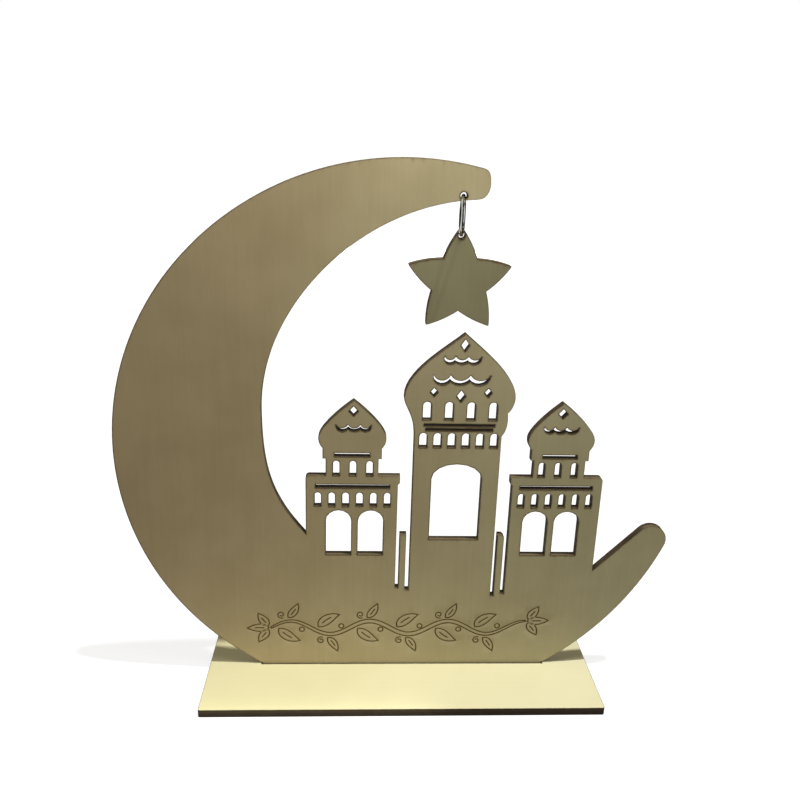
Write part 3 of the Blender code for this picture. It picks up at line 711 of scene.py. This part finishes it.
def noise_node(tree, vector, scale, detail, roughness):
    """Plain noise; its value is returned."""
    node = tree.nodes.new("ShaderNodeTexNoise")
    tree.links.new(vector, node.inputs["Vector"])
    node.inputs["Scale"].default_value = scale
    node.inputs["Detail"].default_value = detail
    node.inputs["Roughness"].default_value = roughness
    return node.outputs[0]


def stretched(tree, vector, scale):
    """Coordinates scaled differently along each axis."""
    node = tree.nodes.new("ShaderNodeMapping")
    tree.links.new(vector, node.inputs["Vector"])
    feed(tree, node.inputs["Scale"], scale)
    return node.outputs[0]


def levels(tree, value, low, high):
    """A value stretched from low..high to 0..1 with soft ends."""
    node = tree.nodes.new("ShaderNodeMapRange")
    node.interpolation_type = "SMOOTHSTEP"
    tree.links.new(value, node.inputs["Value"])
    node.inputs["From Min"].default_value = low
    node.inputs["From Max"].default_value = high
    return node.outputs[0]


def axes_of(tree, vector):
    """The X, Y and Z of a vector."""
    node = tree.nodes.new("ShaderNodeSeparateXYZ")
    tree.links.new(vector, node.inputs["Vector"])
    return node.outputs


def seen_ray(tree):
    """1 on a ray that shows a surface, straight or by way of metal or glass, and 0 on any other."""
    path = tree.nodes.new("ShaderNodeLightPath")
    seen = math_node(tree, "MAXIMUM", path.outputs["Is Camera Ray"], path.outputs["Is Glossy Ray"])
    return math_node(tree, "MAXIMUM", seen, path.outputs["Is Transmission Ray"])


# Shader groups
def new_group(name, inputs, outputs):
    """An empty shader node group with its sockets, and its input and output nodes."""
    tree = bpy.data.node_groups.new(name, "ShaderNodeTree")
    for label, kind, value in inputs:
        socket = tree.interface.new_socket(label, in_out="INPUT", socket_type=kind)
        socket.default_value = value
    for label, kind in outputs:
        tree.interface.new_socket(label, in_out="OUTPUT", socket_type=kind)
    return tree, tree.nodes.new("NodeGroupInput"), tree.nodes.new("NodeGroupOutput")


def grain_group():
    """Fine close grain of basswood: a shade from 0 to 1 and a height."""
    tree, given, made = new_group(
        "basswood grain",
        [("Vector", "NodeSocketVector", (0, 0, 0)), ("Stretch", "NodeSocketVector", (1, 1, 1))],
        [("Shade", "NodeSocketFloat"), ("Height", "NodeSocketFloat")],
    )
    along = stretched(tree, given.outputs["Vector"], given.outputs["Stretch"])
    streaks = noise_node(tree, along, *STREAKS)
    fibres = noise_node(tree, along, *FIBRES)
    clouds = noise_node(tree, given.outputs["Vector"], *CLOUDS)
    blotches = noise_node(tree, given.outputs["Vector"], *BLOTCHES)
    fine = added(tree, (streaks, STREAK_SHADE), (fibres, FIBRE_SHADE))
    wide = added(tree, (clouds, CLOUD_SHADE), (blotches, BLOTCH_SHADE))
    shade = math_node(tree, "ADD", fine, wide)
    height = added(tree, (streaks, STREAK_HEIGHT), (fibres, FIBRE_HEIGHT))
    tree.links.new(levels(tree, shade, *GRAIN_LEVELS), made.inputs["Shade"])
    tree.links.new(height, made.inputs["Height"])
    return tree


def soot_group():
    """Soot by the cuts, partly painted shade, and smudges below the cut-outs, broken up by noise, each a
    mask.
    """
    tree, given, made = new_group(
        "laser soot",
        [
            ("Vector", "NodeSocketVector", (0, 0, 0)),
            ("Soot", "NodeSocketFloat", 0.0),
            ("Smudge", "NodeSocketFloat", 0.0),
        ],
        [("Scorch", "NodeSocketFloat"), ("Stain", "NodeSocketFloat")],
    )
    uneven = noise_node(tree, given.outputs["Vector"], *SOOT_UNEVEN)
    wander = math_node(tree, "ADD", math_node(tree, "MULTIPLY", uneven, SOOT_WANDER), SOOT_LEAST)
    scorch = math_node(tree, "MULTIPLY", given.outputs["Soot"], wander)
    drips = noise_node(tree, stretched(tree, given.outputs["Vector"], DRIP_CLOSENESS), *DRIPS)
    stain = math_node(tree, "MULTIPLY", given.outputs["Smudge"], levels(tree, drips, *DRIP_LEVELS))
    tree.links.new(levels(tree, scorch, *SCORCH_LEVELS), made.inputs["Scorch"])
    tree.links.new(stain, made.inputs["Stain"])
    return tree


def char_group():
    """Burnt cut edge and its fine beam ribs; a paler front ply shows only on up-facing cuts, as painted
    light.
    """
    tree, given, made = new_group(
        "burnt edge",
        [
            ("Vector", "NodeSocketVector", (0, 0, 0)),
            ("Ribs", "NodeSocketVector", (1, 1, 1)),
            ("Depth", "NodeSocketFloat", 0.0),
            ("Level", "NodeSocketFloat", 1.0),
        ],
        [("Shade", "NodeSocketFloat"), ("Height", "NodeSocketFloat")],
    )
    ribs = noise_node(tree, stretched(tree, given.outputs["Vector"], given.outputs["Ribs"]), *BEAM_RIBS)
    patches = noise_node(tree, given.outputs["Vector"], *CHAR_PATCHES)
    front_ply_and_up_light = math_node(tree, "SUBTRACT", 1.0, levels(tree, given.outputs["Depth"], *OUTER_PLY_LEVELS))
    # Only a cut that faces up keeps the paler front ply: painted light that darkens sloping cuts
    front_ply_and_up_light = math_node(tree, "MULTIPLY", front_ply_and_up_light, levels(tree, given.outputs["Level"], *UP_FACING_LIGHT_LEVELS))
    char = levels(tree, added(tree, (ribs, RIB_TONE), (patches, PATCH_TONE)), *CHAR_LEVELS)
    shade = added(tree, (char, CHAR_TONE), (front_ply_and_up_light, OUTER_PLY_TONE), clamp=True)
    tree.links.new(shade, made.inputs["Shade"])
    tree.links.new(ribs, made.inputs["Height"])
    return tree


# Materials
def use_group(material, group):
    """A group placed in a material."""
    node = material.node_tree.nodes.new("ShaderNodeGroup")
    node.node_tree = group
    return node


def new_material(name, roughness, specular):
    """A material with its tree, its shader and its object coordinates."""
    material = bpy.data.materials.new(name)
    material.use_nodes = True
    tree = material.node_tree
    shader = tree.nodes["Principled BSDF"]
    shader.inputs["Roughness"].default_value = roughness
    shader.inputs["Specular IOR Level"].default_value = specular
    place = tree.nodes.new("ShaderNodeTexCoord").outputs["Object"]
    return material, tree, shader, place


def attribute(tree, name):
    """A value carried by the mesh."""
    node = tree.nodes.new("ShaderNodeAttribute")
    node.attribute_name = name
    return node.outputs["Fac"]


def bump(tree, shader, height, distance, strength):
    """A height turned into the shader's normal."""
    node = tree.nodes.new("ShaderNodeBump")
    node.inputs["Strength"].default_value = strength
    node.inputs["Distance"].default_value = distance
    tree.links.new(height, node.inputs["Height"])
    tree.links.new(node.outputs["Normal"], shader.inputs["Normal"])


def plywood(name, warm, cool, grain_dark, stretch):
    """Sanded plywood face with soot by its cuts, partly painted shade."""
    material, tree, shader, place = new_material(name, *FACE_GLOSS)
    grain = use_group(material, GRAIN)
    tree.links.new(place, grain.inputs["Vector"])
    grain.inputs["Stretch"].default_value = stretch
    dirt = use_group(material, SOOT)
    tree.links.new(place, dirt.inputs["Vector"])
    tree.links.new(attribute(tree, "soot"), dirt.inputs["Soot"])
    tree.links.new(attribute(tree, "smudge"), dirt.inputs["Smudge"])
    drift = levels(tree, axes_of(tree, place)["X"], -HUE_HALF_SPAN, HUE_HALF_SPAN)
    wood = mix_node(tree, drift, warm, cool)
    shade = mix_node(tree, grain.outputs["Shade"], grain_dark, WHITE)
    wood = mix_node(tree, 1.0, wood, shade, "MULTIPLY")
    stained = mix_node(tree, dirt.outputs["Stain"], wood, SMUDGE)
    scorched = mix_node(tree, dirt.outputs["Scorch"], stained, SCORCH)
    tree.links.new(scorched, shader.inputs["Base Color"])
    bump(tree, shader, grain.outputs["Height"], *GRAIN_RELIEF)
    return material


def burnt_edge(name, across, front, back, light, dark):
    """Cut edge of a sheet, burnt by the beam, with its depth measured from the sheet's front to its back."""
    material, tree, shader, place = new_material(name, *CHAR_GLOSS)
    depth = math_node(tree, "SUBTRACT", axes_of(tree, place)[across], front)
    depth = math_node(tree, "DIVIDE", depth, back - front)
    ribs = [RIBS_ROUND, RIBS_ROUND, RIBS_ROUND]
    ribs[across] = RIBS_THROUGH
    edge = use_group(material, CHAR)
    tree.links.new(place, edge.inputs["Vector"])
    tree.links.new(depth, edge.inputs["Depth"])
    edge.inputs["Ribs"].default_value = ribs
    # On an upright sheet the paler front ply shows only on up-facing cuts, as painted light
    if across == Y_AXIS:
        up_facing_light = axes_of(tree, tree.nodes.new("ShaderNodeTexCoord").outputs["Normal"])
        tree.links.new(up_facing_light["Z"], edge.inputs["Level"])
    tree.links.new(mix_node(tree, edge.outputs["Shade"], dark, light), shader.inputs["Base Color"])
    bump(tree, shader, edge.outputs["Height"], *CHAR_RELIEF)
    return material


def engraved():
    """Sides of the engraved line."""
    material, tree, shader, place = new_material("engraved_line", *LINE_GLOSS)
    uneven = noise_node(tree, place, *LINE_UNEVEN)
    tone = levels(tree, uneven, *LINE_LEVELS)
    tree.links.new(mix_node(tree, tone, ENGRAVED, SCORCH), shader.inputs["Base Color"])
    bump(tree, shader, uneven, *LINE_RELIEF)
    return material


def wire():
    """Bright plated wire with faint drawing marks and handling marks."""
    material, tree, shader, place = new_material("plated_wire", *WIRE_GLOSS)
    shader.inputs["Metallic"].default_value = 1.0
    marks = noise_node(tree, place, *WIRE_MARKS)
    dull = noise_node(tree, place, *WIRE_DULL)
    tint = mix_node(tree, levels(tree, dull, *WIRE_LEVELS), STEEL_DULL, STEEL)
    tree.links.new(tint, shader.inputs["Base Color"])
    rough = math_node(tree, "ADD", math_node(tree, "MULTIPLY", dull, WIRE_ROUGH_SHARE), WIRE_ROUGH_LEAST)
    tree.links.new(rough, shader.inputs["Roughness"])
    bump(tree, shader, marks, *WIRE_RELIEF)
    return material


board_low, board_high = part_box("moon_board")
base_low, base_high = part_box("base_board")
GRAIN = grain_group()
SOOT = soot_group()
CHAR = char_group()
BOARD_FACE = plywood("board_face", BOARD_WARM, BOARD_COOL, GRAIN_DARK, GRAIN_UP)
STAR_FACE = plywood("star_face", STAR_WARM, STAR_COOL, GRAIN_DARK, GRAIN_UP)
BASE_FACE = plywood("base_face", BASE_WARM, BASE_COOL, PALE_GRAIN_DARK, GRAIN_ALONG)
UPRIGHT_EDGE = burnt_edge("burnt_edge_upright", Y_AXIS, board_low.y, board_high.y, CHAR_LIGHT, CHAR_DARK)
BASE_EDGE = burnt_edge("burnt_edge_base", Z_AXIS, base_high.z, base_low.z, TOAST_LIGHT, TOAST_DARK)
ENGRAVED_LINE = engraved()
WIRE = wire()


# Ring
def ring_tree():
    """Geometry nodes that sweep a wire round a circle and leave it split at the start."""
    tree = bpy.data.node_groups.new("split ring", "GeometryNodeTree")
    for label, kind in (
        ("Radius", "NodeSocketFloat"),
        ("Wire", "NodeSocketFloat"),
        ("Gap", "NodeSocketFloat"),
        ("Finish", "NodeSocketMaterial"),
    ):
        tree.interface.new_socket(label, in_out="INPUT", socket_type=kind)
    tree.interface.new_socket("Geometry", in_out="OUTPUT", socket_type="NodeSocketGeometry")
    given = tree.nodes.new("NodeGroupInput")
    made = tree.nodes.new("NodeGroupOutput")
    split = math_node(tree, "DIVIDE", given.outputs["Gap"], given.outputs["Radius"])
    path = tree.nodes.new("GeometryNodeCurveArc")
    path.inputs["Resolution"].default_value = RING_STEPS
    tree.links.new(given.outputs["Radius"], path.inputs["Radius"])
    tree.links.new(math_node(tree, "DIVIDE", split, 2.0), path.inputs["Start Angle"])
    tree.links.new(math_node(tree, "SUBTRACT", 2 * math.pi, split), path.inputs["Sweep Angle"])
    section = tree.nodes.new("GeometryNodeCurvePrimitiveCircle")
    section.inputs["Resolution"].default_value = WIRE_SIDES
    tree.links.new(given.outputs["Wire"], section.inputs["Radius"])
    swept = tree.nodes.new("GeometryNodeCurveToMesh")
    swept.inputs["Fill Caps"].default_value = True
    tree.links.new(path.outputs["Curve"], swept.inputs["Curve"])
    tree.links.new(section.outputs["Curve"], swept.inputs["Profile Curve"])
    real = tree.nodes.new("GeometryNodeRealizeInstances")
    tree.links.new(swept.outputs["Mesh"], real.inputs["Geometry"])
    finish = tree.nodes.new("GeometryNodeSetMaterial")
    tree.links.new(real.outputs["Geometry"], finish.inputs["Geometry"])
    tree.links.new(given.outputs["Finish"], finish.inputs["Material"])
    tree.links.new(finish.outputs["Geometry"], made.inputs["Geometry"])
    return tree


def ring_piece():
    """The split wire ring, its sizes worked out from the solid's box and its turn about the vertical."""
    low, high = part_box("jump_ring")
    swing = next(joint for joint in frame["joints"] if joint["name"] == "star_swing")
    axis = Vector(swing["axis"]).normalized()
    centre = Vector(swing["pos_m"])
    turn = math.atan2(axis.y, axis.x)
    half_height = (high.z - low.z) / 2
    wire_radius = ((high.x - low.x) / 2 - half_height * abs(math.sin(turn))) / (1 - abs(math.sin(turn)))
    ring_radius = half_height - wire_radius

    carrier = linked("ring_carrier", bpy.data.meshes.new("ring_carrier"))
    modifier = carrier.modifiers.new("ring", "NODES")
    modifier.node_group = ring_tree()
    values = {"Radius": ring_radius, "Wire": wire_radius, "Gap": RING_GAP, "Finish": WIRE}
    for socket in modifier.node_group.interface.items_tree:
        if socket.item_type == "SOCKET" and socket.in_out == "INPUT":
            modifier[socket.identifier] = values[socket.name]
    mesh = bpy.data.meshes.new_from_object(carrier.evaluated_get(bpy.context.evaluated_depsgraph_get()))
    bpy.data.objects.remove(carrier)
    upright = Matrix.Rotation(math.radians(90), 4, "Z") @ Matrix.Rotation(math.radians(90), 4, "X")
    mesh.transform(Matrix.Translation(centre) @ Matrix.Rotation(turn, 4, "Z") @ upright)
    finish_mesh(mesh, SAME_POINT, RING_SHARP)
    mesh.name = "wire_ring"
    return linked("wire_ring", mesh)


# Pieces
board_materials = (BOARD_FACE, UPRIGHT_EDGE, ENGRAVED_LINE)
star_materials = (STAR_FACE, UPRIGHT_EDGE)
base_materials = (BASE_FACE, BASE_EDGE)
board = sheet_piece("crescent_sheet", "moon_board", Y_AXIS, -1, board_materials, vine())
star = sheet_piece("star_sheet", "star_pendant", Y_AXIS, -1, star_materials, top_soot=STAR_TOP_SOOT)
base = sheet_piece("base_sheet", "base_board", Z_AXIS, 1, base_materials)
ring = ring_piece()
for piece, node, body, slot in (
    (board, "moon_board", "board", "board_plywood"),
    (star, "star_pendant", "star", "star_plywood"),
    (base, "base_board", "base", "base_plywood"),
    (ring, "jump_ring", "ring", "ring_steel"),
):
    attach(piece, body)
    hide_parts(node)


# Floor and flags
def floor_piece():
    """A white table top that throws only a little light back up."""
    material, tree, shader, place = new_material("white_table", *TABLE_GLOSS)
    seen = seen_ray(tree)
    tree.links.new(mix_node(tree, seen, FLOOR_BOUNCE, FLOOR_SEEN), shader.inputs["Base Color"])
    shader.inputs["Emission Color"].default_value = WHITE
    tree.links.new(math_node(tree, "MULTIPLY", seen, FLOOR_GLOW), shader.inputs["Emission Strength"])
    mesh = bpy.data.meshes.new("table_top")
    work = bmesh.new()
    bmesh.ops.create_grid(work, x_segments=2, y_segments=2, size=FLOOR_SIZE)
    work.to_mesh(mesh)
    work.free()
    mesh.materials.append(material)
    table = linked("table_top", mesh)
    table.location.z = base_low.z - FLOOR_BELOW


def flag_pieces():
    """Black flags left and right of the wire, seen only in reflections, which give it its dark sides."""
    material, tree, shader, place = new_material("black_flag", *FLAG_GLOSS)
    shader.inputs["Base Color"].default_value = BLACK
    for name, (x0, y0), (x1, y1) in (("left_flag", *LEFT_FLAG), ("right_flag", *RIGHT_FLAG)):
        corners = [(x0, y0, FLAG_FOOT), (x1, y1, FLAG_FOOT), (x1, y1, FLAG_TOP), (x0, y0, FLAG_TOP)]
        mesh = bpy.data.meshes.new(name)
        mesh.from_pydata(corners, [], [(0, 1, 2, 3)])
        mesh.materials.append(material)
        flag = linked(name, mesh)
        flag.visible_camera = False
        flag.visible_diffuse = False
        flag.visible_shadow = False


floor_piece()
flag_pieces()


# Light
def sun():
    """The lamp nearly overhead, which leans to the right and to the front."""
    data = bpy.data.lights.new("overhead_lamp", "SUN")
    data.energy = SUN_LEVEL * math.pi
    data.angle = math.radians(SUN_ANGLE)
    lamp = linked("overhead_lamp", data)
    towards = Vector((math.tan(math.radians(SUN_RIGHT)), -math.tan(math.radians(SUN_FRONT)), 1.0))
    lamp.rotation_euler = towards.to_track_quat("Z", "Y").to_euler()
    lamp.visible_glossy = False


def soft_lamp(name, place, target, size, level, tint=WHITE[:3]):
    """A soft lamp of a width and a height that gives the target a level of light."""
    data = bpy.data.lights.new(name, "AREA")
    data.shape = "RECTANGLE"
    data.size, data.size_y = size
    data.color = tint
    distance = (Vector(place) - Vector(target)).length
    data.energy = level * math.pi * math.pi * distance ** 2
    lamp = linked(name, data)
    lamp.visible_camera = False
    lamp.visible_glossy = False
    lamp.location = place
    lamp.rotation_euler = (Vector(target) - Vector(place)).to_track_quat("-Z", "Y").to_euler()


def sky():
    """A sky that dims towards the right, and is white where it is seen."""
    world = bpy.data.worlds.new("dimming_sky")
    world.use_nodes = True
    tree = world.node_tree
    back = tree.nodes["Background"]
    seen = seen_ray(tree)
    way = axes_of(tree, tree.nodes.new("ShaderNodeTexCoord").outputs["Generated"])
    right = math_node(tree, "MAXIMUM", way["X"], 0.0)
    level = math_node(tree, "SUBTRACT", SKY_LEVEL, math_node(tree, "MULTIPLY", right, SKY_LEVEL * SKY_DIM))
    rest = math_node(tree, "MULTIPLY", seen, math_node(tree, "SUBTRACT", 1.0, level))
    tree.links.new(math_node(tree, "ADD", level, rest), back.inputs["Strength"])
    tree.links.new(mix_node(tree, seen, SKY_TINT, WHITE), back.inputs["Color"])
    bpy.context.scene.world = world


sun()
soft_lamp("front_lamp", FRONT_LAMP_AT, FRONT_LAMP_TARGET, FRONT_LAMP_SIZE, FRONT_LAMP_LEVEL)
soft_lamp("back_lamp", BACK_LAMP_AT, BACK_LAMP_TARGET, BACK_LAMP_SIZE, BACK_LAMP_LEVEL)
soft_lamp("tip_lamp", TIP_LAMP_AT, TIP_LAMP_TARGET, TIP_LAMP_SIZE, TIP_LAMP_LEVEL)
soft_lamp("foot_lamp", FOOT_LAMP_AT, FOOT_LAMP_TARGET, FOOT_LAMP_SIZE, FOOT_LAMP_LEVEL, FOOT_LAMP_TINT)
sky()


# Camera
def camera():
    """The photograph's viewpoint."""
    yaw, pitch, roll = (math.radians(angle) for angle in (CAMERA_YAW, CAMERA_PITCH, CAMERA_ROLL))
    ahead = Vector((math.sin(yaw) * math.cos(pitch), math.cos(yaw) * math.cos(pitch), -math.sin(pitch)))
    right = Vector((math.cos(yaw), -math.sin(yaw), 0.0))
    down = ahead.cross(right)
    leaned_right = right * math.cos(roll) + down * math.sin(roll)
    leaned_down = down * math.cos(roll) - right * math.sin(roll)
    data = bpy.data.cameras.new("camera")
    data.lens = LENS
    data.sensor_width = SENSOR
    data.clip_start = CLIP_START
    view = linked("camera", data)
    turn = Matrix((leaned_right, -leaned_down, -ahead)).transposed()
    view.matrix_world = Matrix.Translation(CAMERA_AT) @ turn.to_4x4()
    bpy.context.scene.camera = view


camera()
bpy.context.scene.view_settings.view_transform = "Standard"
